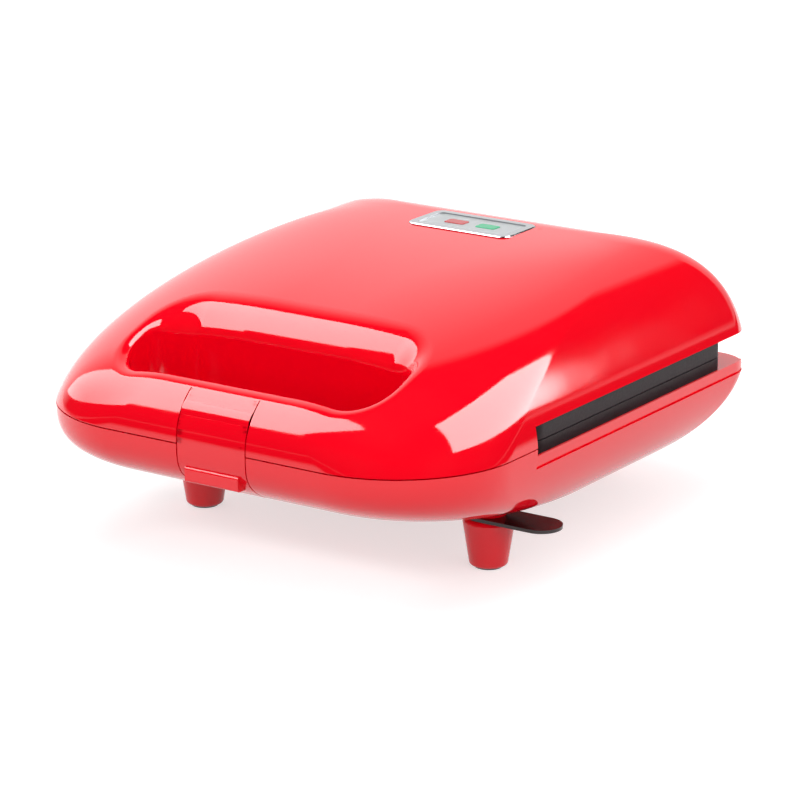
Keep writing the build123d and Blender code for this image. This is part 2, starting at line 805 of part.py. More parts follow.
with BuildPart() as base_inner_frame:
    ledge = plan_outline(base_frame_z, frame_reveal, gap_front_y + fit_gap, rear_y)
    extrude(ledge, amount=frame_thickness)
    upstand = plan_outline(base_frame_top, frame_reveal, gap_front_y + fit_gap, upstand_rear_y)
    extrude(upstand, amount=upstand_height)
    within = plan_outline(base_frame_top, frame_reveal + upstand_width, -far, far)
    extrude(within, amount=upstand_height, mode=Mode.SUBTRACT)
    step_rear_y = gap_front_y + fit_gap
    step = plan_outline(base_frame_z, frame_inset, gap_front_y - frame_step, step_rear_y)
    extrude(step, amount=base_top_z - base_frame_z)
    front_deck = plan_outline(base_top_z, frame_inset, front_y, gap_front_y)
    extrude(front_deck, amount=-frame_thickness)
    grip = opening_outline(base_top_z, wall + fit_gap)
    extrude(grip, amount=-frame_thickness, mode=Mode.SUBTRACT)
    extrude(bar_outline(base_top_z), amount=-frame_thickness, mode=Mode.SUBTRACT)
    window = rounded_panel(base_frame_z, base_window, window_corner)
    extrude(window, amount=frame_thickness, mode=Mode.SUBTRACT)
    notches = hinge_strips(base_frame_z, barrel_places, 2 * notch_half, notch_front_y)
    extrude(notches, amount=frame_thickness, mode=Mode.SUBTRACT)
    holes = circles(base_frame_z, screw_radius + screw_clearance, post_places)
    extrude(holes, amount=frame_thickness, mode=Mode.SUBTRACT)
base_inner_frame.part.label = "base_inner_frame"
export_step(base_inner_frame.part, "parts/base_inner_frame.step")

# Plates, elements and reflector trays
upper_boss_z = lid_frame_top + tray_depth - tray_sheet
lower_boss_z = base_frame_z - tray_depth + tray_sheet

with BuildPart() as upper_plate:
    add(build_plate(upper_face_z, lid_frame_z, upper_boss_z))
upper_plate.part.label = "upper_plate"
export_step(upper_plate.part, "parts/upper_plate.step")

with BuildPart() as lower_plate:
    add(build_plate(lower_face_z, base_frame_top, lower_boss_z))
lower_plate.part.label = "lower_plate"
export_step(lower_plate.part, "parts/lower_plate.step")

with BuildPart() as upper_element:
    add(build_element(upper_web_z + seat_gap + element_radius))
upper_element.part.label = "upper_element"
export_step(upper_element.part, "parts/upper_element.step")

with BuildPart() as lower_element:
    add(build_element(lower_web_z - seat_gap - element_radius))
lower_element.part.label = "lower_element"
export_step(lower_element.part, "parts/lower_element.step")

with BuildPart() as upper_reflector:
    add(build_tray(lid_frame_top, 1, lid_window, lid_tray_flange))
upper_reflector.part.label = "upper_reflector"
export_step(upper_reflector.part, "parts/upper_reflector.step")

with BuildPart() as lower_reflector:
    add(build_tray(base_frame_z, -1, base_window, base_tray_flange))
lower_reflector.part.label = "lower_reflector"
export_step(lower_reflector.part, "parts/lower_reflector.step")

# Screws
with BuildPart() as upper_plate_screws:
    add(build_screws(lid_frame_top + tray_depth, -1, boss_places))
upper_plate_screws.part.label = "upper_plate_screws"
export_step(upper_plate_screws.part, "parts/upper_plate_screws.step")

with BuildPart() as lower_plate_screws:
    add(build_screws(tray_bottom_z, 1, boss_places))
lower_plate_screws.part.label = "lower_plate_screws"
export_step(lower_plate_screws.part, "parts/lower_plate_screws.step")

with BuildPart() as lid_frame_screws:
    add(build_screws(lid_frame_z, 1, post_places))
lid_frame_screws.part.label = "lid_frame_screws"
export_step(lid_frame_screws.part, "parts/lid_frame_screws.step")

with BuildPart() as base_frame_screws:
    add(build_screws(base_frame_top, -1, post_places))
base_frame_screws.part.label = "base_frame_screws"
export_step(base_frame_screws.part, "parts/base_frame_screws.step")

with BuildPart() as foot_screws:
    add(build_screws(foot_seat_z, -1, front_feet, foot_screw_length))
    add(build_screws(rear_foot_seat_z, -1, rear_feet, foot_screw_length))
foot_screws.part.label = "foot_screws"
export_step(foot_screws.part, "parts/foot_screws.step")

# Indicator on the lid: bezel, face, two lenses, and the lamps on their board below
with BuildPart() as indicator_bezel:
    size = (bezel_width, bezel_length)
    extrude(rounded_panel(bezel_bottom_z, size, bezel_corner, indicator_y), amount=bezel_height)
    outer_rim = indicator_bezel.faces().sort_by(Axis.Z)[-1].edges()
    chamfer(outer_rim, bezel_edge)
    inner = rounded_panel(bezel_bottom_z, (face_width, face_length), bezel_inner_corner, indicator_y)
    extrude(inner, amount=bezel_height, mode=Mode.SUBTRACT)
indicator_bezel.part.label = "indicator_bezel"
export_step(indicator_bezel.part, "parts/indicator_bezel.step")

with BuildPart() as indicator_face:
    size = grown((face_width, face_length), -trim_gap)
    face_panel = rounded_panel(bezel_bottom_z, size, bezel_inner_corner - trim_gap, indicator_y)
    extrude(face_panel, amount=face_thickness)
    for side in sides:
        with BuildSketch(Plane.XY.offset(bezel_bottom_z)):
            with Locations((side * lens_x, indicator_y)):
                RectangleRounded(*grown((lens_width, lens_length), trim_gap), lens_corner + trim_gap)
        extrude(amount=face_thickness, mode=Mode.SUBTRACT)
indicator_face.part.label = "indicator_face"
export_step(indicator_face.part, "parts/indicator_face.step")

with BuildPart() as red_lens:
    add(build_lens(-1))
red_lens.part.label = "red_lens"
export_step(red_lens.part, "parts/red_lens.step")

with BuildPart() as green_lens:
    add(build_lens(1))
green_lens.part.label = "green_lens"
export_step(green_lens.part, "parts/green_lens.step")

with BuildPart() as red_lamp:
    add(build_lamp(-1))
red_lamp.part.label = "red_lamp"
export_step(red_lamp.part, "parts/red_lamp.step")

with BuildPart() as green_lamp:
    add(build_lamp(1))
green_lamp.part.label = "green_lamp"
export_step(green_lamp.part, "parts/green_lamp.step")

with BuildPart() as lamp_board:
    size = (board_width, board_length)
    extrude(rounded_panel(board_top_z, size, board_corner, indicator_y), amount=-board_thickness)
lamp_board.part.label = "lamp_board"
export_step(lamp_board.part, "parts/lamp_board.step")

# Parts inside the base
with BuildPart() as thermostat:
    stem = circles(tray_bottom_z, thermostat_radius, [(0, plate_y)])
    extrude(stem, amount=-thermostat_height)
    base_rim = thermostat.faces().sort_by(Axis.Z)[0].edges()
    fillet(base_rim, thermostat_edge)
thermostat.part.label = "thermostat"
export_step(thermostat.part, "parts/thermostat.step")

with BuildPart() as thermal_fuse:
    with BuildSketch(Plane.YZ.offset(fuse_x - fuse_length / 2)):
        with Locations((fuse_y, tray_bottom_z - fuse_radius)):
            Circle(fuse_radius)
            Rectangle(2 * fuse_radius, fuse_radius, align=(Align.CENTER, Align.MIN))
    extrude(amount=fuse_length)
thermal_fuse.part.label = "thermal_fuse"
export_step(thermal_fuse.part, "parts/thermal_fuse.step")

with BuildPart() as terminal_block:
    with BuildSketch(Plane.XY.offset(block_seat_z)):
        with Locations((block_x, block_y)):
            Rectangle(block_width, block_length)
    extrude(amount=block_height)
    with Locations(Plane.XZ.offset(-block_y + block_length / 2).location):
        with Locations(*[(block_x + way, block_seat_z + block_height / 2) for way in block_ways]):
            Hole(block_way_radius)
terminal_block.part.label = "terminal_block"
export_step(terminal_block.part, "parts/terminal_block.step")

with BuildPart() as cord_inlet:
    with BuildSketch(Plane.XZ.offset(-inlet_front_y)):
        with Locations((0, inlet_z)):
            Circle(inlet_outer)
    extrude(amount=inlet_front_y - inlet_rear_y)
    with BuildSketch(Plane.XZ.offset(-inlet_front_y)):
        with Locations((0, inlet_z)):
            Circle(inlet_flange)
    extrude(amount=-inlet_flange_depth)
    with BuildSketch(Plane.XZ.offset(-inlet_front_y)):
        with Locations((0, inlet_z)):
            Circle(inlet_bore)
    extrude(amount=inlet_front_y - inlet_rear_y, mode=Mode.SUBTRACT)
cord_inlet.part.label = "cord_inlet"
export_step(cord_inlet.part, "parts/cord_inlet.step")

# Feet, their pads, and the two tongues that the cord wraps round
with BuildPart() as foot_front_left:
    add(build_foot(front_feet[0]))
foot_front_left.part.label = "foot_front_left"
export_step(foot_front_left.part, "parts/foot_front_left.step")

with BuildPart() as foot_front_right:
    add(build_foot(front_feet[1]))
foot_front_right.part.label = "foot_front_right"
export_step(foot_front_right.part, "parts/foot_front_right.step")

with BuildPart() as foot_rear_left:
    add(build_foot(rear_feet[0]))
foot_rear_left.part.label = "foot_rear_left"
export_step(foot_rear_left.part, "parts/foot_rear_left.step")

with BuildPart() as foot_rear_right:
    add(build_foot(rear_feet[1]))
foot_rear_right.part.label = "foot_rear_right"
export_step(foot_rear_right.part, "parts/foot_rear_right.step")

with BuildPart() as foot_pads:
    extrude(circles(0, pad_radius, front_feet + rear_feet), amount=pad_thickness)
foot_pads.part.label = "foot_pads"
export_step(foot_pads.part, "parts/foot_pads.step")

with BuildPart() as cord_hook_left:
    add(build_tongue(-1))
cord_hook_left.part.label = "cord_hook_left"
export_step(cord_hook_left.part, "parts/cord_hook_left.step")

with BuildPart() as cord_hook_right:
    add(build_tongue(1))
cord_hook_right.part.label = "cord_hook_right"
export_step(cord_hook_right.part, "parts/cord_hook_right.step")
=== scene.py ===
"""Looks of the sandwich maker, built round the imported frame.

Shapes are worked out in millimetres, in the frame's own axes, and made into metres when
a mesh is written. The body's outline, the parting faces, the joints' axes and the places of
the bezel, feet, hinge pins and inlet come from the frame. The two shells and the latch are
modelled here; every other piece keeps its CAD mesh. All materials are procedural.
"""

import json
from math import cos, pi, radians, sin

import bmesh
import bpy
import numpy as np
from mathutils import Matrix, Vector


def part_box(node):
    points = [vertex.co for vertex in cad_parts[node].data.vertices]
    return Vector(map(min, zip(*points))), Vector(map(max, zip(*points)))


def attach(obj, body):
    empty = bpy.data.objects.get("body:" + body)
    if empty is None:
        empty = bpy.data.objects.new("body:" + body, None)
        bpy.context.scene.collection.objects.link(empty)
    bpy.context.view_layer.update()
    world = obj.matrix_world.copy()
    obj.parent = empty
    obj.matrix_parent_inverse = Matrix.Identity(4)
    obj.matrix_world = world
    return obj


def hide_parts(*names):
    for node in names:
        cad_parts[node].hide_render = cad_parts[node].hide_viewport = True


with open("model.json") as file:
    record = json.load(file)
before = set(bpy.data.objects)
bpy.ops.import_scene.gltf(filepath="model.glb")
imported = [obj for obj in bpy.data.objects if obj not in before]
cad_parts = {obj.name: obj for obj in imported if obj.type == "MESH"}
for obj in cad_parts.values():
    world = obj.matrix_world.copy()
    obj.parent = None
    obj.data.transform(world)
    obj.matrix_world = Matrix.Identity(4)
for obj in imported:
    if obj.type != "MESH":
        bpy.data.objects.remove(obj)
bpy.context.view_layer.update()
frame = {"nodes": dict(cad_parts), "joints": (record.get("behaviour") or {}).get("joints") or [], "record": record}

MM = 0.001


def in_mm(values):
    """Values from the frame in millimetres and to a tenth, without what single precision adds."""
    return [round(value / MM, 1) for value in values]


def node_box(node):
    """Lowest and highest corner of a CAD piece."""
    return [in_mm(corner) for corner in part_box(node)]


def node_middle(node):
    """Middle of a CAD piece's box."""
    return [(low + high) / 2 for low, high in zip(*node_box(node))]


def joint_axis(name):
    """Y and z of a joint's axis, which runs along x."""
    joint = next(joint for joint in frame["joints"] if joint["name"] == name)
    return in_mm(joint["pos_m"][1:])


shell_low, shell_high = node_box("base_shell")
ledge_low, ledge_high = node_box("base_inner_frame")
upper_ledge_low, _ = node_box("lid_inner_frame")
bezel_low, bezel_high = node_box("indicator_bezel")
_, foot_high = node_box("foot_front_right")

# Body. A curve holds how the outline's side, front or rear draws in with height.
FRONT_Y = shell_low[1]
REAR_Y = -FRONT_Y
BODY_LENGTH = REAR_Y - FRONT_Y
BODY_WIDTH = shell_high[0] - shell_low[0]
WALL = 3.0
LID_BOTTOM = upper_ledge_low[2]
LID_TOP = 125.5
BASE_TOP = ledge_high[2]
BASE_LOW = 18.0
FRONT_CORNER = 60.0
FRONT_CORNER_GROWTH = 50.0
REAR_CORNER = 20.0
FRONT_LENGTH_SHARE = 0.6
FRONT_WIDTH_SHARE = 0.9
REAR_LENGTH_SHARE = 0.3
LID_CROWN_Y = 83.0
BASE_CROWN_Y = 46.0
LID_CURVES = ((1.4, 7.2), (2.4, 2.1), (2.3, 1.8))
BASE_CURVES = ((2.1, 6.2), (3.2, 1.0), (2.35, 1.6))

# Axes of the two joints
HINGE_Y, HINGE_Z = joint_axis("lid_hinge")
LATCH_Y, LATCH_Z = joint_axis("latch_hinge")

# Gap between the halves
GAP_FRONT_Y = -60.0
LID_EDGE = 77.0
SHELL_EDGE = 57.5
LEDGE_FOOT = ledge_low[2]
LIP_INSET = 1.6

# Finger opening and the handle bar in front of it
OPENING_HALF = 71.0
OPENING_FRONT = -119.5
OPENING_REAR = -78.0
OPENING_Y = (OPENING_FRONT + OPENING_REAR) / 2
OPENING_HALF_LENGTH = (OPENING_REAR - OPENING_FRONT) / 2
OPENING_CORNER = 19.0
BAR_ROUND = 11.0
END_ROUND = 5.0
RIM_ROUND = 18.0
UNDER_ROUND = 4.0
ROOM_ROUND = 6.0
BAR_Y = LATCH_Y
BAR_POCKET_X = 46.0
BAR_POCKET_LENGTH = 40.0
BAR_POCKET_WIDTH = 10.0
BAR_POCKET_DEPTH = 13.0

# Latch: it turns on a pin in the bar, and its heel runs under the base
LATCH_HALF = 18.4
LATCH_SLOT_HALF = 19.0
LATCH_BAND = 2.5
LATCH_INNER = 8.3
LATCH_BACK = 45.0
LATCH_REACH = 20.0
LATCH_CORE = 8.0
LATCH_CORE_GAP = 0.4
LATCH_CORE_DROP = 2.0
LATCH_SWING = 11.6
LATCH_BORE = 1.55
HEEL_Y = -127.3
HEEL_Z = 62.0
HEEL_RADIUS = 14.2
HEEL_CORE = 11.3
HEEL_TAIL = 1.8
LIP_HALF = 14.5
LIP_TOP = 57.0
LIP_FOOT = 50.0
LIP_DEPTH = 9.0
LIP_ROUND = 1.2
CHEEK = 2.5
EDGE_GAP = 0.2
OFF_AXIS = 1.0

# Hinge
HINGE_RADIUS = 5.8
PIN_RADIUS = 2.06
HINGE_X = node_middle("hinge_pin_right")[0]
BARREL = 15.0
BARREL_ROOT = 86.0
BARREL_TIP = LID_EDGE + 2.0
BARREL_REAR = 138.0
EAR = 6.0
EAR_X = 11.0
EAR_ROOT = 46.0
EAR_REAR = 135.5

# Indicator, feet and inlet. A foot is its x, y and the height that its neck reaches.
BEZEL_GAP = 0.1
BEZEL_Y = node_middle("indicator_bezel")[1]
BEZEL_BOTTOM = bezel_low[2]
BEZEL_HALF = (bezel_high[0] + BEZEL_GAP, bezel_high[1] - BEZEL_Y + BEZEL_GAP)
BEZEL_CORNER = 5.0 + BEZEL_GAP
NECK_RADIUS = 8.0
NECK_FOOT = foot_high[2]
FEET = ((*node_middle("foot_front_right")[:2], 30.0), (*node_middle("foot_rear_right")[:2], 36.0))
INLET_Z = node_middle("cord_inlet")[2]
INLET_RADIUS = 6.6
INLET_ENDS = (115.0, 150.0)

# Cutters reach past what they cut, or a sliver short of a face that they share
FAR_X = 150.0
FAR_Y = 160.0
PAST = 20.0
RELIEF_PAST = 9.0
JUST_PAST = 1.0
SLIVER = 0.01

# Nets and the shading taken from the shapes
GRID_STEP = 1.2
COARSE_STEP = 2.4
NET_X = 121.0
NET_Y = 145.0
NET_SPARE = 3.0
PARTING_SPARE = 3.0
NEAR_CROWN = 0.9999
CROWN_FOOT = 117.0
SOFT_LIMIT = 8
NUDGE = 0.002
LEAST_SLOPE = 0.5
LEAST_SPAN = 1e-6
SLOPE_STEP = 0.02
SETTLE_ROUNDS = 5
SETTLE_REACH = 0.4
LEAST_MOVE = 1e-9
HALVINGS = 40
EDGE_HALVINGS = 30
ON_SURFACE = 0.3
NEAR_FLAT = 0.85


def share_left(level, curve):
    """Share of the full reach that is left at a level from 0, the parting plane, to 1."""
    bend, flatness = curve
    return (1 - level**bend) ** (1 / flatness)


def corner_distance(across, along, radius):
    """Signed distance to a quarter plane with its corner rounded."""
    outside = np.hypot(np.maximum(across + radius, 0), np.maximum(along + radius, 0))
    return outside + np.minimum(np.maximum(across, along) + radius, 0) - radius


def round_plan_distance(x, y, half_width, front, rear, front_radius, rear_radius):
    """Signed distance in plan to a rectangle with one radius in front and one at the rear."""
    across = np.abs(x) - half_width
    return np.maximum(
        corner_distance(across, front - y, front_radius),
        corner_distance(across, y - rear, rear_radius),
    )


def soft_least(*values):
    """Close to the least of the values, without a crease where they cross."""
    return sum(value ** (-SOFT_LIMIT) for value in values) ** (-1 / SOFT_LIMIT)


def pillow(x, y, level, curves, crown_y, growth, inset=0.0):
    """Signed plan distance to the pillow's outline at a level from 0 to 1."""
    held = np.clip(level, 0, NEAR_CROWN)
    side, front, rear = (share_left(held, curve) for curve in curves)
    length = rear * (REAR_Y - inset - crown_y) - front * (FRONT_Y + inset - crown_y)
    half_width = side * (BODY_WIDTH / 2 - inset)
    front_radius = side * (FRONT_CORNER + growth * held) - inset
    rear_radius = side * (REAR_CORNER - inset)
    return round_plan_distance(
        x,
        y,
        half_width,
        crown_y + front * (FRONT_Y + inset - crown_y),
        crown_y + rear * (REAR_Y - inset - crown_y),
        soft_least(front_radius, FRONT_LENGTH_SHARE * length, FRONT_WIDTH_SHARE * half_width),
        soft_least(rear_radius, REAR_LENGTH_SHARE * length),
    )


def as_distance(field, x, y, z):
    """Field divided by its slope, which is close to a true distance near the surface."""
    here = field(x, y, z)
    slopes = (
        field(x + NUDGE, y, z) - here,
        field(x, y + NUDGE, z) - here,
        field(x, y, z + NUDGE) - here,
    )
    steepness = np.sqrt(sum(slope**2 for slope in slopes)) / NUDGE
    return here / np.maximum(steepness, LEAST_SLOPE)


def lid_distance(x, y, z, inset=0.0):
    """Distance to the lid's outer surface, or to one drawn inwards. Below zero is inside."""
    height = LID_TOP - LID_BOTTOM - inset

    def plan_distance(x, y, z):
        level = (z - LID_BOTTOM) / height
        return pillow(x, y, level, LID_CURVES, LID_CROWN_Y, FRONT_CORNER_GROWTH, inset)

    top = z - LID_BOTTOM - NEAR_CROWN * height
    return np.maximum(as_distance(plan_distance, x, y, z), top)


def base_distance(x, y, z, inset=0.0):
    """Distance to the base's outer surface, or to one drawn inwards. Below zero is inside."""
    height = BASE_TOP - BASE_LOW - inset

    def plan_distance(x, y, z):
        level = (BASE_TOP - z) / height
        return pillow(x, y, level, BASE_CURVES, BASE_CROWN_Y, 0.0, inset)

    low = BASE_TOP - z - NEAR_CROWN * height
    return np.maximum(as_distance(plan_distance, x, y, z), low)


def opening_distance(x, y, margin=0.0):
    """Signed distance in plan to the finger opening, made larger by a margin."""
    across = np.abs(x) - OPENING_HALF
    along = np.abs(y - OPENING_Y) - OPENING_HALF_LENGTH
    return corner_distance(across, along, OPENING_CORNER) - margin


def rounded_both(a, b, radius):
    """Both solids at once, with the edge where they meet rounded."""
    corner = np.hypot(np.maximum(a + radius, 0), np.maximum(b + radius, 0))
    return np.minimum(np.maximum(a, b), -radius) + corner


def inside_field(inner, x, y, radius):
    """Room inside a shell, which stops short of the opening's wall and leaves the bar solid."""
    bar = np.maximum(np.abs(x) - OPENING_HALF - WALL, y - OPENING_Y)
    room = rounded_both(inner, -opening_distance(x, y, WALL), radius + ROOM_ROUND)
    return np.maximum(room, -bar)


def rim_radius(x, y):
    """The rim's rounding: that of the handle bar, small at both ends and wide at the rear."""
    across = np.maximum(np.abs(x) - (OPENING_HALF - OPENING_CORNER), 0)
    along = np.maximum(np.abs(y - OPENING_Y) - (OPENING_HALF_LENGTH - OPENING_CORNER), 0)
    lean = along**2 / np.maximum(across**2 + along**2, LEAST_SPAN)
    return END_ROUND + lean * (np.where(y < OPENING_Y, BAR_ROUND, RIM_ROUND) - END_ROUND)


def lid_shape(x, y, z):
    outer = rounded_both(lid_distance(x, y, z), -opening_distance(x, y), rim_radius(x, y))
    return np.maximum(outer, LID_BOTTOM - PARTING_SPARE - z)


def lid_inside(x, y, z):
    room = inside_field(lid_distance(x, y, z, WALL), x, y, rim_radius(x, y))
    return np.maximum(room, LID_BOTTOM - 2 * PARTING_SPARE - z)


def base_shape(x, y, z):
    outer = rounded_both(base_distance(x, y, z), -opening_distance(x, y), UNDER_ROUND)
    return np.maximum(outer, z - BASE_TOP - PARTING_SPARE)


def base_inside(x, y, z):
    room = inside_field(base_distance(x, y, z, WALL), x, y, UNDER_ROUND)
    return np.maximum(room, z - BASE_TOP - 2 * PARTING_SPARE)


def crown_height(x, y):
    """Height of the lid's top over points in plan, found by halving."""
    low = np.zeros(len(x))
    high = np.ones(len(x))
    for _ in range(HALVINGS):
        level = (low + high) / 2
        under = pillow(x, y, level, LID_CURVES, LID_CROWN_Y, FRONT_CORNER_GROWTH) < 0
        low = np.where(under, level, low)
        high = np.where(under, high, level)
    return LID_BOTTOM + low * (LID_TOP - LID_BOTTOM)


def shape_net(shape, low, high, step):
    """Quad net on the zero surface of a shape, one point in each grid cell that it crosses."""
    axes = [np.arange(a, b + step, step) for a, b in zip(low, high)]
    grid = np.meshgrid(*axes, indexing="ij")
    values = shape(*grid)
    size = values.shape
    cells = tuple(n - 1 for n in size)

    def corner(dx, dy, dz):
        return values[dx : dx + cells[0], dy : dy + cells[1], dz : dz + cells[2]]

    total = np.zeros(cells + (3,))
    count = np.zeros(cells)
    for axis in range(3):
        others = [k for k in range(3) if k != axis]
        for p in (0, 1):
            for q in (0, 1):
                start = [0, 0, 0]
                start[others[0]] = p
                start[others[1]] = q
                end = list(start)
                end[axis] = 1
                a = corner(*start)
                b = corner(*end)
                crossed = (a < 0) != (b < 0)
                share = np.where(crossed, a / np.where(crossed, a - b, 1), 0)
                for k in range(3):
                    place = start[k] + (share if k == axis else 0)
                    total[..., k] += np.where(crossed, place, 0)
                count += crossed
    used = count > 0
    number = np.full(cells, -1)
    number[used] = np.arange(used.sum())
    where = np.argwhere(used)
    points = (where + total[used] / count[used][:, None]) * step + np.array(low)
    faces = []
    for axis in range(3):
        u, v = [k for k in range(3) if k != axis]
        a = np.take(values, range(size[axis] - 1), axis)
        b = np.take(values, range(1, size[axis]), axis)
        spots = np.argwhere((a < 0) != (b < 0))
        spots = spots[(spots[:, u] > 0) & (spots[:, v] > 0)]
        spots = spots[(spots[:, u] < cells[u]) & (spots[:, v] < cells[v])]
        rings = []
        for du, dv in ((1, 1), (0, 1), (0, 0), (1, 0)):
            cell = spots.copy()
            cell[:, u] -= du
            cell[:, v] -= dv
            rings.append(number[tuple(cell.T)])
        quads = np.stack(rings, 1)
        outward = values[tuple(spots.T)] < 0
        if axis == 1:
            outward = ~outward
        quads[~outward] = quads[~outward][:, ::-1]
        faces.append(quads)
    settled = settle(points, shape, step)
    if shape is lid_shape:
        crown = points[:, 2] > CROWN_FOOT
        settled[crown, :2] = points[crown, :2]
        settled[crown, 2] = crown_height(*points[crown, :2].T)
    return settled, np.concatenate(faces)


def settle(points, shape, step):
    """Moves net points onto the zero surface along its slope."""
    for _ in range(SETTLE_ROUNDS):
        x, y, z = points.T
        here = shape(x, y, z)
        slope = np.stack(
            [
                shape(x + SLOPE_STEP, y, z) - here,
                shape(x, y + SLOPE_STEP, z) - here,
                shape(x, y, z + SLOPE_STEP) - here,
            ],
            1,
        )
        slope /= SLOPE_STEP
        move = slope * (here / np.maximum((slope**2).sum(1), LEAST_SLOPE**2))[:, None]
        length = np.linalg.norm(move, axis=1, keepdims=True)
        points = points - move * np.minimum(1, SETTLE_REACH * step / np.maximum(length, LEAST_MOVE))
    return points


def slopes_of(points, shape):
    """Unit normals of a shape's surface at points on it."""
    x, y, z = points.T
    slope = [
        shape(x + SLOPE_STEP, y, z) - shape(x - SLOPE_STEP, y, z),
        shape(x, y + SLOPE_STEP, z) - shape(x, y - SLOPE_STEP, z),
        shape(x, y, z + SLOPE_STEP) - shape(x, y, z - SLOPE_STEP),
    ]
    if shape is lid_shape:
        crown = z > CROWN_FOOT
        a, b = x[crown], y[crown]
        slope[0][crown] = crown_height(a - SLOPE_STEP, b) - crown_height(a + SLOPE_STEP, b)
        slope[1][crown] = crown_height(a, b - SLOPE_STEP) - crown_height(a, b + SLOPE_STEP)
        slope[2][crown] = 2 * SLOPE_STEP
    slope = np.stack(slope, 1)
    return slope / np.linalg.norm(slope, axis=1, keepdims=True)


def polish(piece, shape):
    """Shades the outer surface by the shape's own slope, so that reflections stay smooth."""
    mesh = piece.data
    points = np.empty(len(mesh.vertices) * 3)
    mesh.vertices.foreach_get("co", points)
    points = points.reshape(-1, 3) / MM
    off = np.abs(shape(*points.T))
    if shape is lid_shape:
        crown = points[:, 2] > CROWN_FOOT
        off[crown] = np.abs(points[crown, 2] - crown_height(*points[crown, :2].T))
    outer = off < ON_SURFACE
    normals = np.zeros_like(points)
    normals[outer] = slopes_of(points[outer], shape)
    corner_points = np.empty(len(mesh.loops), dtype=np.int32)
    mesh.loops.foreach_get("vertex_index", corner_points)
    corners = np.empty(len(mesh.loops) * 3)
    mesh.corner_normals.foreach_get("vector", corners)
    corners = corners.reshape(-1, 3)
    sizes = np.empty(len(mesh.polygons), dtype=np.int32)
    mesh.polygons.foreach_get("loop_total", sizes)
    flat = np.empty(len(mesh.polygons) * 3)
    mesh.polygons.foreach_get("normal", flat)
    flat = np.repeat(flat.reshape(-1, 3), sizes, axis=0)
    wanted = normals[corner_points]
    close = (flat * wanted).sum(1) > NEAR_FLAT
    corners[close] = wanted[close]
    mesh.normals_split_custom_set(corners.tolist())
    return piece


def mesh_object(name, points, faces):
    mesh = bpy.data.meshes.new(name)
    mesh.from_pydata((np.asarray(points) * MM).tolist(), [], [list(map(int, f)) for f in faces])
    mesh.update()
    piece = bpy.data.objects.new(name, mesh)
    bpy.context.scene.collection.objects.link(piece)
    return piece


def prism(name, outline, axis, start, end):
    """Solid with a plane outline, run along one axis. Outline points are in the other two."""
    count = len(outline)

    def point(a, b, c):
        return {"x": (c, a, b), "y": (a, c, b), "z": (a, b, c)}[axis]

    points = [point(a, b, start) for a, b in outline] + [point(a, b, end) for a, b in outline]
    faces = [list(range(count))[::-1], list(range(count, 2 * count))]
    faces += [[i, (i + 1) % count, (i + 1) % count + count, i + count] for i in range(count)]
    piece = mesh_object(name, points, faces)
    mesh = bmesh.new()
    mesh.from_mesh(piece.data)
    bmesh.ops.recalc_face_normals(mesh, faces=mesh.faces)
    mesh.to_mesh(piece.data)
    mesh.free()
    return piece


def rectangle(x0, x1, y0, y1):
    return [(x0, y0), (x1, y0), (x1, y1), (x0, y1)]


def arc(center, radius, start, end, steps):
    angles = [radians(start + (end - start) * i / steps) for i in range(steps + 1)]
    return [(center[0] + radius * cos(a), center[1] + radius * sin(a)) for a in angles]


def combine(piece, cutters, operation="DIFFERENCE"):
    """Cuts or adds closed pieces with the manifold solver, then removes them."""
    for cutter in cutters:
        change = piece.modifiers.new("combine", "BOOLEAN")
        change.operation = operation
        change.solver = "MANIFOLD"
        change.object = cutter
    apply_modifiers(piece)
    for cutter in cutters:
        bpy.data.objects.remove(cutter)
    return piece


def apply_modifiers(piece):
    bpy.context.view_layer.update()
    seen = piece.evaluated_get(bpy.context.evaluated_depsgraph_get())
    mesh = bpy.data.meshes.new_from_object(seen)
    piece.modifiers.clear()
    piece.data = mesh
    return piece


def smooth(piece, angle=32):
    piece.data.shade_smooth()
    piece.data.set_sharp_from_angle(angle=radians(angle))
    return piece


def block(x0, x1, y0, y1, z0, z1):
    return prism("block", rectangle(x0, x1, y0, y1), "z", z0, z1)


def round_rectangle(center, half, corner):
    """Rectangle with round corners, seen from above."""
    (cx, cy), (hx, hy) = center, half
    corners = ((1, 1, 0), (-1, 1, 90), (-1, -1, 180), (1, -1, 270))
    points = []
    for sx, sy, start in corners:
        middle = (cx + sx * (hx - corner), cy + sy * (hy - corner))
        points += arc(middle, corner, start, start + 90, steps=12)
    return points


def rod(axis, middle, radius, start, end):
    return prism("rod", arc(middle, radius, 0, 360, steps=64)[:-1], axis, start, end)


def lid_reliefs():
    """Room for the latch in the lid's bar: round its pivot, outside a core, and down the front."""
    half = LATCH_SLOT_HALF
    core_half = LATCH_HALF - CHEEK - LATCH_CORE_GAP
    low = LID_BOTTOM - RELIEF_PAST
    ring = rod("x", (LATCH_Y, LATCH_Z), LATCH_SWING, -half, half)
    keep = [
        rod("x", (LATCH_Y, LATCH_Z), LATCH_CORE, -core_half, core_half),
        block(-core_half, core_half, LATCH_Y - LATCH_CORE, 0, low, LATCH_Z - LATCH_CORE_DROP),
    ]
    front = block(-half, half, FRONT_Y - RELIEF_PAST, LATCH_Y - LATCH_CORE, low, LATCH_Z)
    return [combine(ring, keep), front]


def base_relief_outline():
    """Room for the latch's heel in the base, outside a core."""
    under = arc((HEEL_Y, HEEL_Z), HEEL_CORE, 180, 270, steps=24)
    tail = HEEL_Y + HEEL_TAIL
    low = HEEL_Z - HEEL_CORE
    above = BASE_TOP + PAST
    below = BASE_LOW - PAST
    front = [(-FAR_Y, above), (HEEL_Y - HEEL_CORE, above)]
    return front + under + [(tail, low), (tail, below), (-FAR_Y, below)]


